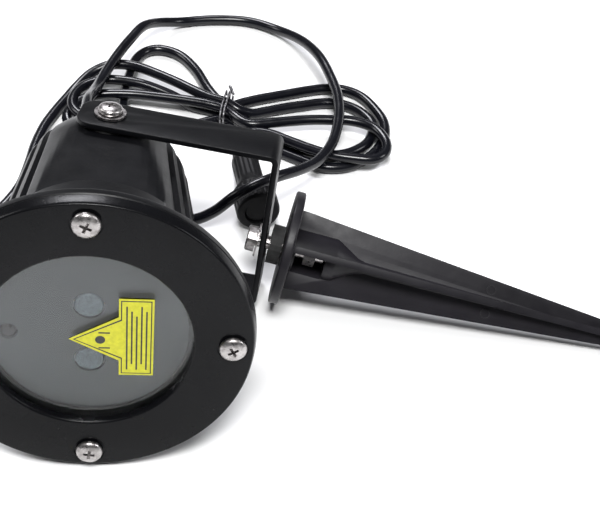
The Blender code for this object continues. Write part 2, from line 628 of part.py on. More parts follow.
def build():
    clear_scene()
    head = frame_empty("head_frame", None, PIVOT, HEAD_TURN)
    bracket = frame_empty("bracket_frame", head, (0, 0, 0), (0, 0, TILT))
    stake = frame_empty("stake_frame", bracket, (BASE_OUT, 0, -BOLT_LOW), (0, DROOP, 0))
    rear_housing(head)
    bezel(head)
    window_stack(head)
    label(head)
    light_engine(head)
    cord_gland(head)
    pivot_hardware(head)
    u_bracket(bracket)
    swivel_hardware(stake)
    ground_stake(stake)
    cord_lead()
    cord_hank()
    cord_tie()
    plug()


build()
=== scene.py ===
"""Looks for the garden light projector: detailed shells, hardware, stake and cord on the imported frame."""

import json
import math

import bmesh
import bpy
from mathutils import Matrix, Vector


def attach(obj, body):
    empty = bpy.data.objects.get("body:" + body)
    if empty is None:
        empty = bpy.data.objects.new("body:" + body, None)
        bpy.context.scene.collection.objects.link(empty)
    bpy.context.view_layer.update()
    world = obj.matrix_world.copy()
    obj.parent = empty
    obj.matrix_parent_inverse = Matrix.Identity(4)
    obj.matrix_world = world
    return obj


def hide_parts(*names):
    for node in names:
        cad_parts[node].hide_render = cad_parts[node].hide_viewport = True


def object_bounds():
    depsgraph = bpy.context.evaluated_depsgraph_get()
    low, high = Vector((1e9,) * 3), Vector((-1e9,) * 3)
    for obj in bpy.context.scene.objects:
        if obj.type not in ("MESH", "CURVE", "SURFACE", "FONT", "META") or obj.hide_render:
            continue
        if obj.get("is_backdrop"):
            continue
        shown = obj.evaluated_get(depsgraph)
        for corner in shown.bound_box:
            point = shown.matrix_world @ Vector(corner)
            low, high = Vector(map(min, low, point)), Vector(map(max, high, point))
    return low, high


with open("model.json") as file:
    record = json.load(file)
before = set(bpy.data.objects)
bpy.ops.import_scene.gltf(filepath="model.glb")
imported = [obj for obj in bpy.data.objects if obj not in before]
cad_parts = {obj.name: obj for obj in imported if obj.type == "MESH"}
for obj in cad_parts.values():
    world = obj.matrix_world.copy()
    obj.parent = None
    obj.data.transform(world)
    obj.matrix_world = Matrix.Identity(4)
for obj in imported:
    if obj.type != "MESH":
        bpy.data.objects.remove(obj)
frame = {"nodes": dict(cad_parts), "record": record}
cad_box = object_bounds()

MM = 0.001

# The same driving sizes as the CAD model, in millimetres and degrees
PIVOT = Vector((-93.2, 29.44, 34.6))
FOOT = Vector((PIVOT.x, PIVOT.y, 0))
HEAD_TURN = (-10.8, 4.5, 11.5)
TILT = -10.5
DROOP = 5.5
STAKE_ROLL = -34.0
FACE_TURN = 3.4
PIVOT_DEPTH = 84.0
BEZEL_R, BEZEL_T = 50.0, 3.6
WINDOW_R, GLASS_R, GLASS_FRONT = 31.2, 34.0, 3.0
LAND_DEPTH = 7.3
FLANGE_FRONT, FLANGE_BACK = 3.9, 6.8
SCREW_CIRCLE = 42.8
CONE_R, CONE_TAPER, CONE_END = 37.6, 0.1, 80.0
HOUSING_END, HOUSING_WALL = 106.0, 8.0
SHOULDER = [(18.0, 106), (18.9, 105.75), (19.8, 104.9), (21.6, 102.5), (22.8, 100.8), (23.9, 99), (25.0, 97),
            (26.0, 95), (26.9, 93), (27.7, 91), (28.45, 88.5), (29.0, 86), (29.4, 83)]
RIB_DEPTH, RIB_STEP, RIB_HALF = 2.2, 13.0, 2.7
FLAT_H, FLAT_FRONT, CAVITY_FLAT = 27.4, 37.0, 23.6
GLAND_OFFSET = -11.0
STRIP_W, STRIP_T = 17.0, 2.0
ARM_OUT, ARM_TAIL, BASE_OUT, BEND_R = 31.0, 10.5, 59.0, 3.0
BOLT_LOW = 8.2
PLATE_R, PLATE_T, PLATE_IN = 20.4, 3.4, 5.8
STAKE_END, FIN_H, FIN_T = 162.0, 14.2, 2.4
POCKET = (10.6, 21.5)
CORD_D = 4.4
TIE_AT = (25.5, 93.0)
PLUG_TAIL, PLUG_TIP = Vector((35.0, 73.0, 5.8)), Vector((51.2, 28.8, 9.4))

# The cord, from the foot of the pivot: the free lead, then each pass of the hank
LEAD_ROUTE = [
    (-18.9, 35.1, 28.2), (-20.4, 42.0, 26.9), (-21.7, 48.6, 25.5), (-23.4, 56.5, 23.8),
    (-25.3, 65.5, 21.0), (-26.6, 75.5, 16.0),
    (-27.0, 86.0, 12.6), (-26.4, 98.0, 11.8), (-24.8, 110.0, 11.8), (-22.6, 121.0, 11.8),
    (-19.8, 132.0, 11.3), (-15.4, 142.8, 6.8), (-7.2, 151.8, 2.6), (6.5, 158.0, 2.2),
    (22.5, 161.0, 2.2), (37.5, 156.5, 3.2), (49.5, 145.5, 7.6), (59.0, 131.5, 11.2),
    (66.0, 118.0, 11.6), (71.2, 104.5, 11.6), (73.6, 90.0, 11.6), (73.2, 74.0, 11.8),
    (69.2, 60.0, 13.2), (63.2, 48.0, 17.2), (56.6, 38.6, 20.8), (49.6, 31.6, 21.4),
    (42.0, 26.8, 17.8), (34.4, 24.4, 10.0), (25.6, 24.6, 3.8), (14.6, 28.8, 2.3),
    (4.0, 34.4, 2.2), (-8.0, 38.4, 2.2), (-20.0, 39.8, 2.2), (-30.0, 36.6, 2.2),
    (-35.0, 27.0, 2.2), (-34.8, 13.0, 2.2), (-33.6, -2.0, 2.2), (-35.6, -15.0, 2.2),
    (-43.0, -23.6, 2.2), (-51.6, -20.0, 2.2), (-54.4, -8.6, 2.2), (-50.4, 4.4, 2.2),
    (-45.4, 16.4, 2.2), (-43.0, 29.0, 2.2), (-43.6, 42.0, 2.2), (-44.8, 54.0, 2.2),
    (-44.8, 66.0, 2.2), (-43.4, 76.0, 2.2),
]
UPPER_LEFT = [
    (-41.5, 85, 2.2), (-39.5, 93, 2.6), (-35.5, 101.5, 4.4), (-29.5, 106.5, 6.2), (-24, 108.5, 6.6),
    (-15, 108.3, 6.6), (0, 103.4, 6.6), (12, 98.2, 6.6), (18, 96.2, 6.4), (25.5, 95.2, 6.05),
]
INNER_LOOP = [
    (31, 93.4, 4.6), (36.5, 95, 2.5), (42, 98.2, 2.2), (49, 102.4, 2.2), (56, 106, 2.2), (66, 110.6, 2.2),
    (75, 111, 2.2), (83, 107, 2.2), (88, 100, 2.2), (87, 89, 2.2), (81, 81, 2.2), (73, 77, 2.2),
    (63, 77, 2.2), (53, 79.2, 2.2), (44, 83.4, 2.2), (36, 88.8, 2.2), (30, 92, 2.2), (25.5, 93, 2.2),
]
MIDDLE_LEFT = [
    (12, 93.6, 2.4), (0, 96.5, 4.5), (-13, 97.7, 6.6), (-25, 97, 6.6), (-31, 94, 6.6), (-35.5, 89, 6.6),
    (-37, 82, 6.8), (-35.5, 75.5, 6.6), (-30, 71, 6.4), (-22, 71.5, 6.4), (-13, 73.5, 6.2), (-4, 75.5, 3.4),
    (5, 77.5, 2.2), (15, 82.2, 2.2), (25.5, 88.6, 2.2),
]
OUTER_LOOP = [
    (34, 84.4, 2.2), (42, 79.2, 2.2), (51, 74.6, 2.2), (60, 71.4, 2.2), (69, 69, 2.2), (78, 70.5, 2.2),
    (85, 75.5, 2.2), (90.5, 83, 2.2), (93.5, 93, 2.2), (92.5, 103, 2.2), (88, 111, 2.2), (81, 118.6, 2.2),
    (73, 121.6, 2.2), (65, 120.6, 2.2), (57, 117, 2.2), (48, 111.8, 2.2), (38, 106, 2.2), (31.5, 101.6, 2.2),
    (25.5, 97.4, 2.2),
]
TOP_LOOP = [
    (20, 101.2, 2.3), (14.5, 107.6, 2.4), (7, 118.6, 2.4), (-2, 127, 2.4), (-11, 129, 2.4), (-17, 126, 2.4),
    (-20, 119, 2.3), (-20, 110, 2.2), (-19, 97, 2.2), (-17, 85, 2.2), (-17.5, 78, 2.2), (-19, 71, 2.2),
    (-26, 66.5, 2.2), (-33, 67.5, 2.2), (-37.5, 73, 2.6), (-36, 79.5, 4.5), (-31, 84.4, 6), (-25, 87, 6.6),
    (-14, 89.8, 6.6), (-2, 91, 6.6), (10, 91.6, 6.6), (18, 91.6, 6.5), (25.5, 90.8, 6.05),
]
HIGH_LOOP = [
    (30, 87, 6.6), (34.5, 83.6, 6.6), (39, 83.2, 6.6), (45, 85.6, 6.6), (53, 88.9, 6.6), (61.5, 92.1, 6.6),
    (70, 94.3, 6.6), (79, 96, 6.6), (88, 94, 6.6), (94, 87, 6.6), (95, 79.5, 6.6), (91, 74, 6.6),
    (83, 72.5, 6.6), (73, 72.5, 6.4), (63, 74.4, 6.4), (54, 77, 6.5), (48, 78.6, 6.6), (43, 79, 6.5),
    (38.8, 77.8, 6.3), (36.2, 75.6, 6), (35, 73, 5.8),
]


# ---------------------------------------------------------------- frames

def turn_matrix(turn):
    rx, ry, rz = (Matrix.Rotation(math.radians(a), 4, axis) for a, axis in zip(turn, "XYZ"))
    return rz @ ry @ rx


def moved(point):
    return Matrix.Translation(Vector(point) * MM)


def at_depth(depth):
    return depth - PIVOT_DEPTH


def face_point(x, z):
    turn = math.radians(FACE_TURN)
    return (x * math.cos(turn) - z * math.sin(turn), x * math.sin(turn) + z * math.cos(turn))


HEAD = moved(PIVOT) @ turn_matrix(HEAD_TURN)
BRACKET = HEAD @ turn_matrix((0, 0, TILT))
STAKE = BRACKET @ moved((BASE_OUT, 0, -BOLT_LOW)) @ turn_matrix((0, DROOP, 0))
FRONT = HEAD @ moved((0, -PIVOT_DEPTH, 0))
REAR = HEAD @ moved((0, at_depth(HOUSING_END), 0))
ALONG_STAKE = STAKE @ turn_matrix((0, 0, -90))


# ---------------------------------------------------------------- materials

def nodes_of(name, colour, roughness, metallic=0.0, gloss=0.5):
    made = bpy.data.materials.new(name)
    made.use_nodes = True
    tree = made.node_tree
    shader = tree.nodes["Principled BSDF"]
    shader.inputs["Base Color"].default_value = (*colour, 1)
    shader.inputs["Roughness"].default_value = roughness
    shader.inputs["Metallic"].default_value = metallic
    shader.inputs["Specular IOR Level"].default_value = gloss
    return made, tree, shader


def noise(tree, scale, detail=4.0, rough=0.55, stretch=(1, 1, 1)):
    """Noise in object coordinates, with scale in cycles per metre."""
    place = tree.nodes.new("ShaderNodeTexCoord")
    mapping = tree.nodes.new("ShaderNodeMapping")
    mapping.inputs["Scale"].default_value = stretch
    made = tree.nodes.new("ShaderNodeTexNoise")
    made.inputs["Scale"].default_value = scale
    made.inputs["Detail"].default_value = detail
    made.inputs["Roughness"].default_value = rough
    tree.links.new(place.outputs["Object"], mapping.inputs["Vector"])
    tree.links.new(mapping.outputs["Vector"], made.inputs["Vector"])
    return made.outputs["Fac"]


def ramp(tree, value, stops):
    made = tree.nodes.new("ShaderNodeValToRGB")
    tree.links.new(value, made.inputs["Fac"])
    band = made.color_ramp
    while len(band.elements) < len(stops):
        band.elements.new(0.5)
    for element, (place, colour) in zip(band.elements, stops):
        element.position = place
        element.color = (*colour, 1) if isinstance(colour, tuple) else (colour, colour, colour, 1)
    return made.outputs["Color"]


def mixed(tree, share, first, second, mode='MIX'):
    made = tree.nodes.new("ShaderNodeMix")
    made.data_type = 'RGBA'
    made.blend_type = mode
    for socket, value in ((made.inputs[0], share), (made.inputs[6], first), (made.inputs[7], second)):
        if hasattr(value, "links"):
            tree.links.new(value, socket)
        elif isinstance(value, tuple):
            socket.default_value = (*value, 1)
        else:
            socket.default_value = value
    return made.outputs[2]


def bump(tree, shader, height, strength, distance, below=None):
    made = tree.nodes.new("ShaderNodeBump")
    made.inputs["Strength"].default_value = strength
    made.inputs["Distance"].default_value = distance
    tree.links.new(height, made.inputs["Height"])
    if below:
        tree.links.new(below, made.inputs["Normal"])
    tree.links.new(made.outputs["Normal"], shader.inputs["Normal"])
    return made.outputs["Normal"]


def powder_coat(name, rough_low, rough_high):
    """Satin black powder coat: fine orange peel and faint dust."""
    made, tree, shader = nodes_of(name, (0.003, 0.003, 0.004), rough_high, 0.0, 0.14)
    cloudy = ramp(tree, noise(tree, 45, 5), [(0.3, (0.0020, 0.0021, 0.0027)),
                                             (0.75, (0.0044, 0.0045, 0.0054))])
    dusty = ramp(tree, noise(tree, 1900, 3), [(0.66, 0.0), (0.78, 0.35)])
    colour = mixed(tree, dusty, cloudy, (0.022, 0.022, 0.024))
    tree.links.new(colour, shader.inputs["Base Color"])
    patches = ramp(tree, noise(tree, 120, 4), [(0.25, rough_low), (0.8, rough_high)])
    tree.links.new(patches, shader.inputs["Roughness"])
    peel = bump(tree, shader, noise(tree, 900, 2), 0.16, 0.0002)
    bump(tree, shader, noise(tree, 3600, 2), 0.10, 0.00008, peel)
    return made


def zinc_steel():
    """Zinc-plated steel with turning marks, dull blooms and darker pits."""
    made, tree, shader = nodes_of("zinc_steel", (0.60, 0.58, 0.57), 0.24, 1.0)
    bloom = ramp(tree, noise(tree, 420, 6, 0.65), [(0.32, (0.24, 0.225, 0.22)), (0.5, (0.42, 0.40, 0.395)),
                                                  (0.74, (0.58, 0.56, 0.55))])
    tree.links.new(bloom, shader.inputs["Base Color"])
    tree.links.new(ramp(tree, noise(tree, 700, 5), [(0.3, 0.22), (0.75, 0.45)]), shader.inputs["Roughness"])
    bump(tree, shader, noise(tree, 1500, 4), 0.22, 0.00012)
    return made


def stake_plastic():
    """Black moulded polypropylene, slightly grey where it is rubbed."""
    made, tree, shader = nodes_of("stake_plastic", (0.010, 0.009, 0.012), 0.40, 0.0, 0.24)
    cloudy = ramp(tree, noise(tree, 70, 6, 0.6, (0.35, 1, 1)), [(0.3, (0.0060, 0.0055, 0.0072)),
                                                                (0.72, (0.0130, 0.0118, 0.0152))])
    rubs = ramp(tree, noise(tree, 900, 8, 0.7, (0.25, 1, 1)), [(0.62, 0.0), (0.85, 0.35)])
    colour = mixed(tree, rubs, cloudy, (0.055, 0.050, 0.060))
    tree.links.new(colour, shader.inputs["Base Color"])
    tree.links.new(ramp(tree, noise(tree, 160, 5), [(0.25, 0.34), (0.8, 0.52)]), shader.inputs["Roughness"])
    grain = bump(tree, shader, noise(tree, 1300, 3), 0.12, 0.00015)
    bump(tree, shader, noise(tree, 90, 2), 0.25, 0.0004, grain)
    return made


def hard_plastic():
    made, tree, shader = nodes_of("hard_plastic", (0.005, 0.005, 0.006), 0.45, 0.0, 0.16)
    cloudy = ramp(tree, noise(tree, 150, 5), [(0.3, (0.004, 0.004, 0.0045)), (0.75, (0.009, 0.009, 0.010))])
    tree.links.new(cloudy, shader.inputs["Base Color"])
    tree.links.new(ramp(tree, noise(tree, 300, 4), [(0.3, 0.38), (0.75, 0.55)]), shader.inputs["Roughness"])
    bump(tree, shader, noise(tree, 2200, 3), 0.12, 0.0001)
    return made


def cable_jacket():
    """Smooth PVC jacket with a bluish gloss, faint unevenness and a little dust."""
    made, tree, shader = nodes_of("cable_jacket", (0.003, 0.003, 0.005), 0.24, 0.0, 0.34)
    cloudy = ramp(tree, noise(tree, 60, 5), [(0.3, (0.0022, 0.0023, 0.0040)),
                                             (0.75, (0.0055, 0.0058, 0.0085))])
    specks = ramp(tree, noise(tree, 1600, 3), [(0.70, 0.0), (0.80, 0.4)])
    tree.links.new(mixed(tree, specks, cloudy, (0.05, 0.05, 0.052)), shader.inputs["Base Color"])
    tree.links.new(ramp(tree, noise(tree, 220, 4), [(0.25, 0.17), (0.8, 0.28)]), shader.inputs["Roughness"])
    bump(tree, shader, noise(tree, 500, 3), 0.10, 0.00015)
    return made


def seal_rubber():
    made, tree, shader = nodes_of("seal_rubber", (0.008, 0.008, 0.008), 0.75)
    cloudy = ramp(tree, noise(tree, 400, 5), [(0.3, (0.006, 0.006, 0.006)), (0.75, (0.016, 0.016, 0.016))])
    tree.links.new(cloudy, shader.inputs["Base Color"])
    bump(tree, shader, noise(tree, 1800, 3), 0.2, 0.0001)
    return made


def smoked_mask():
    """The smoked inner mask: dark blue-grey, softly mottled."""
    made, tree, shader = nodes_of("smoked_mask", (0.022, 0.025, 0.030), 0.40)
    cloudy = ramp(tree, noise(tree, 55, 6), [(0.3, (0.016, 0.019, 0.023)), (0.75, (0.027, 0.031, 0.036))])
    tree.links.new(cloudy, shader.inputs["Base Color"])
    tree.links.new(ramp(tree, noise(tree, 300, 3), [(0.3, 0.34), (0.75, 0.48)]), shader.inputs["Roughness"])
    bump(tree, shader, noise(tree, 1400, 2), 0.08, 0.0001)
    return made


def frosted_grating():
    """A frosted light aperture with a fine diffusing grain."""
    made, tree, shader = nodes_of("frosted_grating", (0.20, 0.25, 0.29), 0.5)
    grain = ramp(tree, noise(tree, 900, 6, 0.7), [(0.3, (0.075, 0.095, 0.115)), (0.75, (0.19, 0.23, 0.26))])
    tree.links.new(grain, shader.inputs["Base Color"])
    bump(tree, shader, noise(tree, 2600, 3), 0.35, 0.0002)
    return made


def window_glass():
    made, tree, shader = nodes_of("window_glass", (0.93, 0.96, 0.97), 0.03, 0.0, 0.10)
    shader.inputs["Transmission Weight"].default_value = 1.0
    shader.inputs["IOR"].default_value = 1.45
    tree.links.new(ramp(tree, noise(tree, 80, 5), [(0.45, 0.015), (0.8, 0.07)]), shader.inputs["Roughness"])
    return made


def receiver_plastic():
    made, tree, shader = nodes_of("receiver_plastic", (0.014, 0.010, 0.012), 0.15)
    cloudy = ramp(tree, noise(tree, 300, 3), [(0.3, (0.010, 0.006, 0.008)), (0.75, (0.022, 0.014, 0.017))])
    tree.links.new(cloudy, shader.inputs["Base Color"])
    return made


def printed(name, dark, light):
    """A sticker's ink: slightly uneven, satin."""
    made, tree, shader = nodes_of(name, light, 0.42)
    tree.links.new(ramp(tree, noise(tree, 700, 5), [(0.3, dark), (0.7, light)]), shader.inputs["Base Color"])
    tree.links.new(ramp(tree, noise(tree, 200, 3), [(0.3, 0.36), (0.75, 0.5)]), shader.inputs["Roughness"])
    bump(tree, shader, noise(tree, 1200, 2), 0.06, 0.0001)
    return made


def machined(name, dark, light, roughness):
    """Turned or milled metal with fine tool marks."""
    made, tree, shader = nodes_of(name, light, roughness, 1.0)
    tree.links.new(ramp(tree, noise(tree, 500, 5, 0.6, (1, 8, 1)), [(0.3, dark), (0.7, light)]),
                   shader.inputs["Base Color"])
    bump(tree, shader, noise(tree, 1500, 3, 0.5, (1, 10, 1)), 0.2, 0.0001)
    return made


def solder_mask():
    made, tree, shader = nodes_of("solder_mask", (0.02, 0.13, 0.05), 0.4)
    tracks = ramp(tree, noise(tree, 350, 2), [(0.47, (0.015, 0.10, 0.04)), (0.53, (0.03, 0.19, 0.07))])
    tree.links.new(tracks, shader.inputs["Base Color"])
    bump(tree, shader, noise(tree, 350, 2), 0.3, 0.0002)
    return made


def tie_foil():
    made, tree, shader = nodes_of("tie_wire", (0.20, 0.20, 0.21), 0.34, 0.8)
    worn = ramp(tree, noise(tree, 900, 6), [(0.40, (0.05, 0.05, 0.055)), (0.66, (0.34, 0.33, 0.34))])
    tree.links.new(worn, shader.inputs["Base Color"])
    bump(tree, shader, noise(tree, 1500, 3), 0.25, 0.0002)
    return made


COAT = powder_coat("powder_coat", 0.31, 0.42)
SMOOTH_COAT = powder_coat("smooth_coat", 0.24, 0.30)
ZINC = zinc_steel()
STAKE_BLACK = stake_plastic()
HARD = hard_plastic()
JACKET = cable_jacket()
SEAL = seal_rubber()
YELLOW = printed("label_yellow", (0.46, 0.45, 0.012), (0.60, 0.585, 0.02))
INK = printed("label_ink", (0.012, 0.012, 0.013), (0.030, 0.030, 0.032))


# ---------------------------------------------------------------- mesh helpers

def finish_mesh(mesh, name, looks, matrix, angle=35):
    bmesh.ops.recalc_face_normals(mesh, faces=mesh.faces)
    mesh.transform(matrix)
    data = bpy.data.meshes.new(name)
    mesh.to_mesh(data)
    mesh.free()
    data.shade_smooth()
    data.set_sharp_from_angle(angle=math.radians(angle))
    for look in looks:
        data.materials.append(look)
    made = bpy.data.objects.new(name, data)
    bpy.context.collection.objects.link(made)
    return made


def skin(rings, name, looks, matrix, angle=35):
    """A closed skin through rings of points; a ring of one point is a pole."""
    mesh = bmesh.new()
    rows = [[mesh.verts.new(Vector(p) * MM) for p in ring] for ring in rings]
    for low, high in zip(rows, rows[1:]):
        count = max(len(low), len(high))
        for i in range(count):
            j = (i + 1) % count
            corners = [low[i % len(low)], low[j % len(low)], high[j % len(high)], high[i % len(high)]]
            mesh.faces.new(list(dict.fromkeys(corners)))
    bmesh.ops.remove_doubles(mesh, verts=mesh.verts, dist=1e-7)
    return finish_mesh(mesh, name, looks, matrix, angle)


def rounded(profile, radius=0.3, steps=3):
    """A profile with its inner corners rounded off."""
    points = [Vector(p) for p in profile]
    found = [points[0]]
    for before, corner, after in zip(points, points[1:], points[2:]):
        back, on = before - corner, after - corner
        cut = min(radius, back.length * 0.45, on.length * 0.45)
        start, end = corner + back.normalized() * cut, corner + on.normalized() * cut
        for i in range(steps + 1):
            t = i / steps
            found.append(start * (1 - t) ** 2 + corner * 2 * t * (1 - t) + end * t * t)
    found.append(points[-1])
    return [tuple(p) for p in found]


def turned(name, profile, look, matrix, sides=64, ripple=None, angle=35):
    """Turns (radius, depth) about local Y; ripple(angle, depth) may add to the radius."""
    turns = [2 * math.pi * i / sides for i in range(sides)]

    def ring(radius, depth):
        if radius < 1e-6:
            return [(0, depth, 0)]
        extra = [ripple(a, depth) if ripple else 0 for a in turns]
        return [((radius + e) * math.cos(a), depth, (radius + e) * math.sin(a)) for a, e in zip(turns, extra)]

    rings = [ring(*point) for point in profile]
    if profile[0][0] > 0:
        rings.append(rings[0])
    return skin(rings, name, [look], matrix, angle)


def prism(name, outline, low, high, look, matrix):
    mesh = bmesh.new()
    base = [mesh.verts.new(Vector((x, y, low)) * MM) for x, y in outline]
    cap = [mesh.verts.new(Vector((x, y, high)) * MM) for x, y in outline]
    mesh.faces.new(base)
    mesh.faces.new(cap)
    for i in range(len(base)):
        j = (i + 1) % len(base)
        mesh.faces.new([base[i], base[j], cap[j], cap[i]])
    return finish_mesh(mesh, name, [look], matrix)


def arc(centre, radius, first, last, steps):
    angles = [math.radians(first + (last - first) * i / steps) for i in range(steps + 1)]
    return [(centre[0] + radius * math.cos(a), centre[1] + radius * math.sin(a)) for a in angles]


def circle(radius, sides, first=0.0):
    angles = [first + 2 * math.pi * i / sides for i in range(sides)]
    return [(radius * math.cos(a), radius * math.sin(a)) for a in angles]


def carve(target, tools, soften=0.0):
    """Applies (tool, operation) pairs to a solid, then rounds its sharp edges."""
    for tool, operation in tools:
        step = target.modifiers.new("carve", 'BOOLEAN')
        step.operation = operation
        step.solver = 'EXACT'
        step.object = tool
    if soften:
        bevel = target.modifiers.new("soften", 'BEVEL')
        bevel.width = soften * MM
        bevel.segments = 3
        bevel.limit_method = 'ANGLE'
        bevel.angle_limit = math.radians(38)
    bpy.context.view_layer.update()
    shaped = bpy.data.meshes.new_from_object(target.evaluated_get(bpy.context.evaluated_depsgraph_get()))
    target.modifiers.clear()
    target.data = shaped
    shaped.shade_smooth()
    shaped.set_sharp_from_angle(angle=math.radians(34))
    for tool, _ in tools:
        bpy.data.objects.remove(tool, do_unlink=True)
    return target


def place(piece, body, *nodes):
    """Rides on a body and stands for CAD nodes, which it hides."""
    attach(piece, body)
    if nodes:
        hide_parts(*nodes)
    return piece


SLOTS = {entry["node"]: entry["material_slot"] for entry in frame["record"]["subparts"]}


# ---------------------------------------------------------------- head

def smooth_step(value):
    value = min(max(value, 0.0), 1.0)
    return value * value * (3 - 2 * value)


def rib_share(degrees):
    """1 on a rib or a smooth pad and 0 in a groove, for an angle from the +X side."""
    side = (degrees + 90) % 180 - 90
    if abs(side) > 3 * RIB_STEP:
        beyond = abs(side) - 3 * RIB_STEP
        rib = 1 - smooth_step((beyond - RIB_HALF + 0.4) / 1.2)
        pad = smooth_step((beyond - RIB_HALF - 4.2) / 1.6)
        return max(rib, pad)
    off = abs((side + RIB_STEP / 2) % RIB_STEP - RIB_STEP / 2)
    return 1 - smooth_step((off - RIB_HALF + 0.4) / 1.2)


def housing():
    """Die-cast shell: ribbed sides, flats for the bracket's arms, bored flange and rounded rear."""
    turns = [360 * i / 480 for i in range(480)]

    def ring(radius, depth, ribs=0.0, flat=None):
        points = []
        for degrees in turns:
            a = math.radians(degrees)
            r = radius - RIB_DEPTH * ribs * (1 - rib_share(degrees))
            if flat:
                r = min(r, flat / max(abs(math.sin(a)), 1e-6))
            points.append((r * math.cos(a), at_depth(depth), r * math.sin(a)))
        return points

    def cone(depth):
        return CONE_R - CONE_TAPER * depth

    rings = [[(0, at_depth(HOUSING_END), 0)], ring(10, HOUSING_END)]
    rings += [ring(radius, depth, smooth_step((104 - depth) / 6), FLAT_H) for radius, depth in SHOULDER]
    rings += [ring(cone(d), d, 1, FLAT_H) for d in (CONE_END, 68, 54, FLAT_FRONT + 2.5, FLAT_FRONT + 0.5)]
    rings += [ring(cone(FLAT_FRONT), FLAT_FRONT, 1), ring(cone(24), 24, 1), ring(cone(12), 12, 1)]
    rings += [ring(cone(d) + 0.05, d, (d - 8) / 4) for d in (11, 10, 9, 8)]
    rings += [ring(cone(7.6) + 0.5, 7.6), ring(cone(7) + 1.6, FLANGE_BACK + 0.05)]
    rings += [ring(BEZEL_R - 0.5, FLANGE_BACK)]
    rings += [ring(BEZEL_R - 0.12, FLANGE_BACK - 0.14), ring(BEZEL_R, FLANGE_BACK - 0.5),
              ring(BEZEL_R, FLANGE_FRONT + 0.3), ring(BEZEL_R - 0.3, FLANGE_FRONT)]
    rings += [ring(GLASS_R + 0.4, FLANGE_FRONT), ring(GLASS_R + 0.4, LAND_DEPTH), ring(27.5, LAND_DEPTH)]
    rings += [ring(27.5, 9.5), ring(31.5, 12), ring(29.6, 38, 0, CAVITY_FLAT)]
    rings += [ring(25.2, CONE_END, 0, CAVITY_FLAT)]
    wall_in = HOUSING_END - HOUSING_WALL
    rings += [ring(22.2, 92), ring(20.4, wall_in), [(0, at_depth(wall_in), 0)]]
    shell = skin(rings, "housing_shell", [COAT], HEAD, 32)
    tools = []
    bore = [(0, 20), (2.5, 20), (2.5, FLAT_H + 5), (0, FLAT_H + 5)]
    for side in (1, -1):
        across = HEAD @ turn_matrix((90 * side, 0, 0))
        tools.append((turned("bore", bore, COAT, across, 33), 'DIFFERENCE'))
    entry = [(0, -12), (5.3, -12), (5.3, 4), (0, 4)]
    tools.append((turned("entry", entry, COAT, REAR @ moved((GLAND_OFFSET, 0, 0)), 37), 'DIFFERENCE'))
    place(carve(shell, tools), "head", "rear_housing")


def bezel():
    """Front ring: a stepped seat for the glass, softened edges and a shallow seat under each screw."""
    profile = [(WINDOW_R, 1.6), (WINDOW_R, 0.5), (WINDOW_R + 0.6, 0), (BEZEL_R - 1.1, 0),
               (BEZEL_R - 0.7, 0.6), (BEZEL_R, BEZEL_T), (GLASS_R + 0.4, BEZEL_T),
               (GLASS_R + 0.4, GLASS_FRONT - 0.3), (WINDOW_R, GLASS_FRONT - 0.3), (WINDOW_R, 1.6)]
    ring = turned("bezel_ring", rounded(profile, 0.28)[:-1], SMOOTH_COAT, FRONT, 240)
    tools = []
    seat = [(0, -2), (4.9, -2), (4.9, 0.35), (2.2, 0.35), (2.2, 6), (0, 6)]
    for x, z in screw_places():
        tools.append((turned("seat", seat, SMOOTH_COAT, FRONT @ moved((x, 0, z)), 48), 'DIFFERENCE'))
    place(carve(ring, tools), "head", "front_bezel")


def screw_places():
    corners = [(0, SCREW_CIRCLE), (SCREW_CIRCLE, 0), (0, -SCREW_CIRCLE), (-SCREW_CIRCLE, 0)]
    return [face_point(x, z) for x, z in corners]


def pan_screw(name, head_r, head_h, shank_r, length, matrix, spin):
    """A pan-head screw with a tapered cross recess and a threaded shank."""
    dome = [math.radians(a) for a in (20, 35, 50, 64, 76, 85, 90)]
    profile = [(0, -head_h)]
    profile += [(head_r * math.sin(a) ** 0.8, -head_h * (0.16 + 0.84 * math.cos(a) ** 0.7)) for a in dome]
    profile += [(head_r - 0.15, 0), (shank_r, 0)]
    thread, half_pitch = 0.25, 0.4
    count = int((length - 1) / half_pitch)
    profile += [(shank_r - (thread if i % 2 else 0), 0.5 + half_pitch * i) for i in range(count)]
    profile += [(shank_r - 0.6, length), (0, length)]
    screw = turned(name, profile, ZINC, matrix, 48)
    tools = []
    half, mouth, bottom = head_r * 0.52, -head_h - 1, -head_h * 0.18
    wing = [(-half, mouth), (half, mouth), (half * 0.5, bottom), (-half * 0.5, bottom)]
    for i in range(2):
        wide = 0.42 + 0.01 * i
        turn = matrix @ turn_matrix((0, spin + 90 * i, 0))
        tools.append((prism("wing", wing, -wide, wide, ZINC, turn), 'DIFFERENCE'))
    return carve(screw, tools)


def head_screws():
    for i, (x, z) in enumerate(screw_places()):
        matrix = FRONT @ moved((x, -0.3, z))
        screw = pan_screw(f"cross_screw_{i + 1}", 4.2, 2.3, 1.7, 6.6, matrix, 20 + 37 * i)
        place(screw, "head", f"bezel_screw_{i + 1}")
    for name, side in (("upper", 1), ("lower", -1)):
        matrix = HEAD @ moved((0, 0, side * (ARM_OUT + 1.4))) @ turn_matrix((-90 * side, 0, 0))
        place(pan_screw(f"{name}_bolt", 4.2, 2.4, 2.2, 15, matrix, 20), "head", f"{name}_pivot_screw")


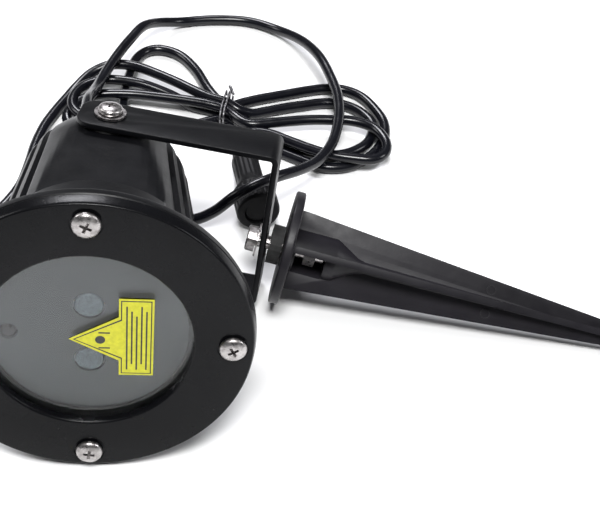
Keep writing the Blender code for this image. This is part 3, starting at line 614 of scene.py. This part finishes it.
def sticker():
    """A plain yellow sticker: dark border, a few bars and a dot in the triangle."""
    def field(inset):
        left, right, top, low = 8.9 + inset, 19.2 - inset, 15.0 - inset, -13.8 + inset
        tip, half = -5.8 + 1.9 * inset, 8.2 - 1.2 * inset
        corners = [(left, top), (right, top), (right, low), (left, low)]
        corners += [(left, -half), (tip, -0.3), (left, half)]
        return [face_point(x, z) for x, z in corners]

    def bar(x_low, x_high, z_low, z_high):
        corners = ((x_low, z_low), (x_high, z_low), (x_high, z_high), (x_low, z_high))
        return [face_point(x, z) for x, z in corners]

    matrix = HEAD @ moved((0, at_depth(GLASS_FRONT - 0.3), 0)) @ turn_matrix((90, 0, 0))
    sheet = prism("sticker", field(0), 0, 0.16, YELLOW, matrix)
    place(sheet, "head", "plain_label")
    marks = [("sticker_border", field(0.6), 0.19, INK), ("sticker_field", field(0.95), 0.22, YELLOW)]
    for i in range(5):
        x = 11.0 + 1.45 * i
        z_low, z_high = -11.6 + (i % 2) * 2.2, 12.4 - (i % 3) * 1.8
        marks.append((f"sticker_bar_{i}", bar(x, x + 0.5, z_low, z_high), 0.25, INK))
    dot = [face_point(3.4 + x, -0.3 + z) for x, z in circle(1.5, 24)]
    marks.append(("sticker_dot", dot, 0.25, INK))
    for i, z in enumerate((2.1, -3.6)):
        marks.append((f"sticker_ray_{i}", bar(2.9, 2.9 + 3.4, z, z + 0.5), 0.25, INK))
    for name, outline, top, look in marks:
        mark = prism(name, outline, 0.1, top, look, matrix)
        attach(mark, "head")


def gland():
    """The dome nut of the cord gland, with finger flutes."""
    profile = [(6.0, 4.6), (7.5, 4.6), (7.7, 5.0), (7.7, 11.2), (7.2, 13.0), (5.9, 14.8), (4.7, 15.8),
               (3.4, 16.0), (2.5, 16.0), (2.5, 12.6), (6.0, 11.6)]

    def flutes(angle, depth):
        reach = smooth_step((12.0 - depth) / 1.5) * smooth_step((depth - 4.7) / 0.4)
        return -0.45 * reach * smooth_step((math.cos(16 * angle) - 0.1) / 0.7)

    nut = turned("dome_nut", rounded(profile, 0.3, 2), HARD, REAR @ moved((GLAND_OFFSET, 0, 0)), 192, flutes)
    place(nut, "head", "gland_nut")


# ---------------------------------------------------------------- bracket and stake

def bracket():
    """A flat strip bent to a U, its edges broken and its arm ends rounded."""
    inner, small = ARM_OUT - STRIP_T, BEND_R - STRIP_T
    corner = BASE_OUT - BEND_R
    upper, lower = (corner, ARM_OUT - BEND_R), (corner, BEND_R - ARM_OUT)
    outline = [(-ARM_TAIL, ARM_OUT)] + arc(upper, BEND_R, 90, 0, 12) + arc(lower, BEND_R, 0, -90, 12)
    outline += [(-ARM_TAIL, -ARM_OUT), (-ARM_TAIL, -inner)]
    outline += arc(lower, small, -90, 0, 8) + arc(upper, small, 0, 90, 8) + [(-ARM_TAIL, inner)]
    strip = prism("bent_strip", outline, -STRIP_W / 2, STRIP_W / 2, COAT, BRACKET @ turn_matrix((90, 0, 0)))
    half, end_r = STRIP_W / 2, 5.5
    keep = [(BASE_OUT + 5, -half - 1), (BASE_OUT + 5, half + 1), (-2, half + 1)]
    keep += arc((-5, half - end_r), end_r, 90, 180, 14) + arc((-5, end_r - half), end_r, 180, 270, 14)
    keep += [(-2, -half - 1)]
    hole = BRACKET @ moved((BASE_OUT, 0, -BOLT_LOW)) @ turn_matrix((0, 90, 0))
    tools = [(prism("ends", keep, -ARM_OUT - 5, ARM_OUT + 5, COAT, BRACKET), 'INTERSECT'),
             (prism("pivot_hole", circle(2.6, 40), -50, 50, COAT, BRACKET), 'DIFFERENCE'),
             (prism("bolt_hole", circle(3.3, 40), -8, 8, COAT, hole), 'DIFFERENCE')]
    place(carve(strip, tools, 0.35), "bracket", "u_bracket")


def stake():
    """Round plate, bossed hub and four tapering fins with draft, ejector marks and a nut pocket."""
    back = PLATE_IN + PLATE_T
    plate = rounded([(0, PLATE_IN), (PLATE_R, PLATE_IN), (PLATE_R, back), (0, back)], 0.8, 5)
    body = turned("stake_body", plate, STAKE_BLACK, ALONG_STAKE, 160)
    spine = [(0, PLATE_IN + 1), (7.6, PLATE_IN + 1), (7.6, 24.6), (7.2, 25.4), (3.0, 33), (2.4, 36),
             (1.3, 150), (0.7, STAKE_END - 0.6), (0, STAKE_END)]
    tools = [(turned("spine", spine, STAKE_BLACK, ALONG_STAKE, 62), 'UNION')]
    for i in range(2):
        upper = [(PLATE_IN + 1, FIN_H), (back + 2, FIN_H), (STAKE_END - 2, 1.5)]
        outline = upper + [(x, -y) for x, y in reversed(upper)]
        turn = STAKE @ turn_matrix((STAKE_ROLL + 90 * i, 0, 0))
        tools.append((prism("blade", outline, -FIN_T / 2, FIN_T / 2, STAKE_BLACK, turn), 'UNION'))
    low, high = POCKET
    mouth = [(low, -4.8), (high, -4.8), (high, 4.8), (low, 4.8)]
    turn = STAKE @ turn_matrix((STAKE_ROLL + 135, 0, 0))
    tools.append((prism("pocket", mouth, -4.9, 20, STAKE_BLACK, turn), 'DIFFERENCE'))
    bore = [(0, 1), (2.8, 1), (2.8, 24), (0, 24)]
    tools.append((turned("bore", bore, STAKE_BLACK, ALONG_STAKE, 40), 'DIFFERENCE'))
    place(carve(body, tools, 0.28), "stake", "ground_stake")
    for i, (side, spot) in enumerate(((0, 86), (0, 132), (1, 82), (1, 128))):
        for face in (1, -1):
            height = (FIN_H - 1.5) * (1 - (spot - back) / (STAKE_END - back)) * 0.5 + 1
            for flank in (1, -1):
                turn = STAKE @ turn_matrix((STAKE_ROLL + 90 * side, 0, 0)) @ moved((spot, flank * height, 0))
                mark = turned(f"ejector_{i}_{face > 0:d}{flank > 0:d}",
                              [(1.45, 0), (1.8, 0), (1.8, 0.2), (1.45, 0.2)], STAKE_BLACK,
                              turn @ turn_matrix((90 * face, 0, 0)) @ moved((0, FIN_T / 2 - 0.02, 0)), 40)
                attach(mark, "stake")


# ---------------------------------------------------------------- cord

def smooth_route(points, step):
    """Points a fixed step apart on a Catmull-Rom curve through the route."""
    knots = [Vector(p) for p in points]
    padded = [knots[0] * 2 - knots[1], *knots, knots[-1] * 2 - knots[-2]]
    fine = []
    for a, b, c, d in zip(padded, padded[1:], padded[2:], padded[3:]):
        for i in range(16):
            t = i / 16
            fine.append(0.5 * (2 * b + (c - a) * t + (2 * a - 5 * b + 4 * c - d) * t * t
                               + (3 * b - a - 3 * c + d) * t ** 3))
    fine.append(knots[-1])
    spaced, left = [fine[0]], step
    for a, b in zip(fine, fine[1:]):
        long = (b - a).length
        while long >= left > 0:
            a = a.lerp(b, left / long)
            long -= left
            spaced.append(a.copy())
            left = step
        left -= long
    spaced.append(fine[-1])
    return spaced


def tube(name, points, diameter, look, sides=5):
    """A round tube along points given in millimetres."""
    curve = bpy.data.curves.new(name, 'CURVE')
    curve.dimensions = '3D'
    curve.bevel_depth = diameter / 2 * MM
    curve.bevel_resolution = sides
    curve.use_fill_caps = True
    spline = curve.splines.new('POLY')
    spline.points.add(len(points) - 1)
    for knot, point in zip(spline.points, points):
        knot.co = (*(Vector(point) * MM), 1)
        knot.radius = 1
    spline.use_smooth = True
    curve.materials.append(look)
    made = bpy.data.objects.new(name, curve)
    bpy.context.collection.objects.link(made)
    return made


def cord(on_it):
    plug_way = (PLUG_TIP - PLUG_TAIL).normalized()
    route = LEAD_ROUTE + UPPER_LEFT + INNER_LOOP + MIDDLE_LEFT + OUTER_LOOP + TOP_LOOP + HIGH_LOOP
    route = [Vector(p) for p in route] + [PLUG_TAIL + plug_way * 3]
    points = [FOOT + p for p in smooth_route(route, 1.6)]
    lead = tube("supply_lead", points, CORD_D, JACKET)
    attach(lead, "head")
    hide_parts("cord_lead", "cord_hank")


def twist_tie():
    """A coated wire wound round the waist of the hank, its ends twisted together."""
    centre = FOOT + Vector((*TIE_AT, 0))
    half_wide, middle, half_high, pitch, steps = 8.8, 4.75, 4.35, 1.4, 36
    turns = []
    for i in range(2 * steps + 1):
        a = 2 * math.pi * i / steps
        y = half_wide * math.copysign(abs(math.cos(a)) ** 0.55, math.cos(a))
        z = middle + half_high * math.copysign(abs(math.sin(a)) ** 0.6, math.sin(a))
        turns.append(centre + Vector((pitch * i / steps - pitch, y, max(z, 0.45))))
    start = turns[-1]
    wire = tie_foil()
    ring = tube("twist_tie", smooth_route(turns, 0.8), 0.8, wire, 3)
    place(ring, "head", "cord_tie")
    for end in range(2):
        twist = []
        for i in range(50):
            a = 0.4 * i + math.pi * end
            along = 0.1 * i
            twist.append(start + Vector((0.4 * math.cos(a) - along * 0.45, along * 0.72 + 0.4,
                                         0.6 + 0.4 * math.sin(a) + along * 0.3)))
        tail = tube(f"twist_end_{end + 1}", twist, 0.75, wire, 3)
        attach(tail, "head")


def connector():
    """Moulded boot, grip barrel and knurled coupling ring of the waterproof connector."""
    tail, tip = FOOT + PLUG_TAIL, FOOT + PLUG_TIP
    length = (tip - tail).length
    turn = Vector((0, 1, 0)).rotation_difference((tip - tail).normalized()).to_matrix().to_4x4()
    matrix = moved(tail) @ turn

    boot = [(0, 0), (2.6, 0), (2.8, 0.5)]
    for i in range(4):
        y = 1.6 + 2.2 * i
        r = 3.0 + 0.32 * i
        boot += [(r, y), (r - 0.45, y + 0.25), (r - 0.45, y + 0.95), (r + 0.1, y + 1.2)]
    boot += [(4.3, 10.6), (4.5, 12.6), (4.3, 13), (0, 13)]
    boot_piece = place(turned("flex_boot", boot, HARD, matrix, 64), "head", "plug_boot")

    def grips(angle, depth):
        reach = smooth_step((depth - 16.5) / 0.8) * smooth_step((length - 18.5 - depth) / 0.8)
        return -0.4 * reach * smooth_step((math.cos(12 * angle) - 0.2) / 0.6)

    barrel = [(0, 13.3), (4.6, 13.3), (5.3, 14.6), (5.5, 16.4), (5.5, 17.4), (5.5, length - 19),
              (5.5, length - 17), (6.4, length - 15), (6.4, length - 12.4), (5.0, length - 12),
              (5.0, length - 1.6), (4.6, length - 1.2), (0, length - 1.2)]
    barrel_piece = place(turned("grip_barrel", barrel, HARD, matrix, 144, grips), "head", "plug_barrel")

    def knurls(angle, depth):
        reach = smooth_step((depth - length + 10.6) / 0.5) * smooth_step((length - 1.2 - depth) / 0.5)
        return -0.4 * reach * smooth_step((math.cos(22 * angle) + 0.2) / 0.8)

    ring = [(6.7, length - 11.9), (7.8, length - 12), (8.4, length - 11.2), (8.4, length - 10.8),
            (8.4, length - 10.2), (8.4, length - 1.8), (8.4, length - 1.2), (8.2, length - 0.4),
            (7.7, length), (5.4, length), (5.4, length - 11.4), (6.7, length - 11.7)]
    ring_piece = place(turned("knurled_ring", ring, HARD, matrix, 264, knurls), "connector_ring", "plug_ring")
    return [boot_piece, barrel_piece, ring_piece]


# ---------------------------------------------------------------- CAD nodes that stay

def repaint():
    looks = {"steel": ZINC, "hard_plastic": HARD, "seal_rubber": SEAL, "smoked_plastic": smoked_mask(),
             "frosted": frosted_grating(), "glass": window_glass(), "circuit": solder_mask(),
             "brass": machined("turned_brass", (0.46, 0.31, 0.11), (0.74, 0.54, 0.24), 0.3),
             "alloy": machined("milled_alloy", (0.40, 0.41, 0.42), (0.62, 0.63, 0.64), 0.38)}
    own_looks = {"remote_receiver": receiver_plastic()}
    for node, item in frame["nodes"].items():
        look = own_looks.get(node) or looks.get(SLOTS[node])
        if look and item.data.materials:
            for i in range(len(item.data.materials)):
                item.data.materials[i] = look
        elif look:
            item.data.materials.append(look)


# ---------------------------------------------------------------- stage

def floor():
    mesh = bmesh.new()
    bmesh.ops.create_grid(mesh, x_segments=2, y_segments=2, size=4)
    look, tree, shader = nodes_of("pale_floor", (0.86, 0.86, 0.86), 0.6)
    tree.links.new(ramp(tree, noise(tree, 6, 3), [(0.3, 0.85), (0.75, 0.87)]), shader.inputs["Base Color"])
    plane = finish_mesh(mesh, "floor", [look], Matrix.Translation((0, 0, -0.0004)))
    plane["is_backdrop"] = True


def softbox(name, spot, aim, size, power, colour=(1, 1, 1)):
    data = bpy.data.lights.new(name, 'AREA')
    data.shape = 'RECTANGLE'
    data.size, data.size_y = size
    data.energy = power
    data.color = colour
    made = bpy.data.objects.new(name, data)
    bpy.context.collection.objects.link(made)
    made.location = spot
    made.rotation_euler = (Vector(aim) - Vector(spot)).to_track_quat('-Z', 'Y').to_euler()


def lights():
    world = bpy.data.worlds.new("studio")
    world.use_nodes = True
    world.node_tree.nodes["Background"].inputs["Color"].default_value = (0.95, 0.97, 1.0, 1)
    world.node_tree.nodes["Background"].inputs["Strength"].default_value = 0.12
    bpy.context.scene.world = world
    softbox("over", (0.05, -0.55, 1.30), (-0.03, 0.0, 0.03), (0.45, 0.35), 24.0)
    softbox("back", (-0.40, 0.76, 0.96), (-0.08, 0.0, 0.06), (0.45, 0.30), 12.0, (0.95, 0.95, 1.0))
    softbox("left", (-1.05, 0.05, 0.75), (-0.05, 0.0, 0.03), (0.35, 0.45), 3.5)
    softbox("right", (1.15, 0.15, 0.75), (0.0, 0.05, 0.03), (0.35, 0.45), 4.5, (0.97, 0.98, 1.0))
    bpy.context.scene.view_settings.view_transform = 'Standard'


def camera():
    data = bpy.data.cameras.new("camera")
    data.lens = 72
    data.sensor_width = 36
    data.sensor_fit = 'HORIZONTAL'
    made = bpy.data.objects.new("camera", data)
    bpy.context.collection.objects.link(made)
    right = Vector((0.9844, 0.1560, 0.0812))
    up = Vector((-0.1680, 0.6974, 0.6967))
    back = Vector((0.0521, -0.6995, 0.7127))
    turn = Matrix((right, up, back)).transposed().to_4x4()
    made.matrix_world = moved(FOOT + Vector((93.1, -299.5, 326.1))) @ turn
    bpy.context.scene.camera = made


camera()
floor()
lights()
cord(connector())
twist_tie()
housing()
bezel()
head_screws()
sticker()
gland()
bracket()
stake()
repaint()

sizes = {"cad": cad_box, "visual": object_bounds()}
sizes = {name: [list(map(float, corner)) for corner in box] for name, box in sizes.items()}
